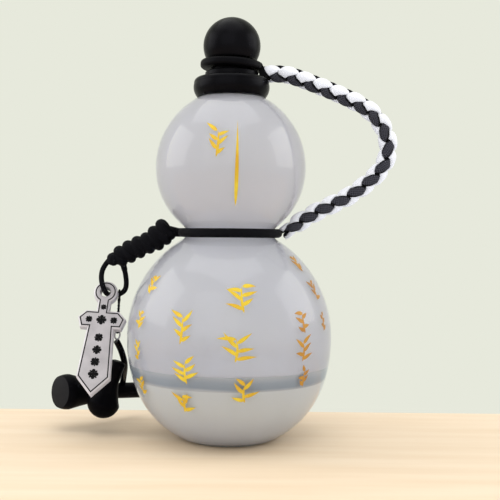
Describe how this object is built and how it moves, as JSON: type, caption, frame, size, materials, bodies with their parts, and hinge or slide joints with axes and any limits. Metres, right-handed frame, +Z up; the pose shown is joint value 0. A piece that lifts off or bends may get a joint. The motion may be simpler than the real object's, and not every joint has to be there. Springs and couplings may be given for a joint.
{
  "type": "gourd water bottle",
  "caption": "Clear double-bulb drinking bottle with a black screw lid, a ball cap over the drinking tube, a braided carry strap and a knotted lanyard with hanging charms.",
  "frame": {"origin": "centre of the base, on the surface that the bottle stands on", "axes": "+Z up along the bottle's axis, -Y towards the viewer of the picture, +X towards the carry strap"},
  "size_m": [0.1884, 0.11, 0.227],
  "materials": {
    "clear_bottle": "clear, glossy",
    "black_lid": "soft satin",
    "seal": "matte",
    "ring_rubber": "matte",
    "braid": "white and black braided cord",
    "black_cord": "fine woven cord",
    "sword_metal": "satin",
    "wire": "satin",
    "club_rubber": "satin"
  },
  "bodies": {
    "bottle": {"bottle_body": "clear_bottle", "waist_cord": "black_cord", "carry_strap": "braid", "lanyard_knot": "black_cord", "lanyard_loop": "black_cord"},
    "strap_ring": {"strap_ring": "ring_rubber"},
    "lid": {"lid_collar": "black_lid", "drinking_spout": "black_lid", "lid_seal_plate": "black_lid", "lid_gasket": "seal"},
    "cap_liner": {"ball_cap_liner": "seal"},
    "cap": {"ball_cap": "black_lid"},
    "sword": {"sword_pendant": "sword_metal"},
    "clubs": {"pendant_string": "black_cord", "pendant_ring": "wire", "pendant_cord": "club_rubber", "club_level": "club_rubber", "club_upright": "club_rubber"}
  },
  "joints": [
    {"name": "lid_lift", "type": "slide", "parent": "bottle", "child": "strap_ring", "axis": [0, 0, 1], "range_m": [0, 0.045]},
    {"name": "lid_turn", "type": "hinge", "parent": "strap_ring", "child": "lid", "pos_m": [0, 0, 0.195], "axis": [0, 0, 1], "continuous": true},
    {"name": "cap_lift", "type": "slide", "parent": "lid", "child": "cap_liner", "axis": [0, 0, 1], "range_m": [0, 0.03]},
    {"name": "cap_turn", "type": "hinge", "parent": "cap_liner", "child": "cap", "pos_m": [0, 0, 0.2115], "axis": [0, 0, 1], "continuous": true},
    {"name": "sword_swing", "type": "hinge", "parent": "bottle", "child": "sword", "pos_m": [-0.06675, -0.001, 0.07686], "axis": [0, 0.8829, -0.4695], "range_deg": [0, 75]},
    {"name": "clubs_swing", "type": "hinge", "parent": "bottle", "child": "clubs", "pos_m": [-0.06028, 0.0046, 0.07615], "axis": [1, 0, 0], "range_deg": [0, 60]}
  ]
}
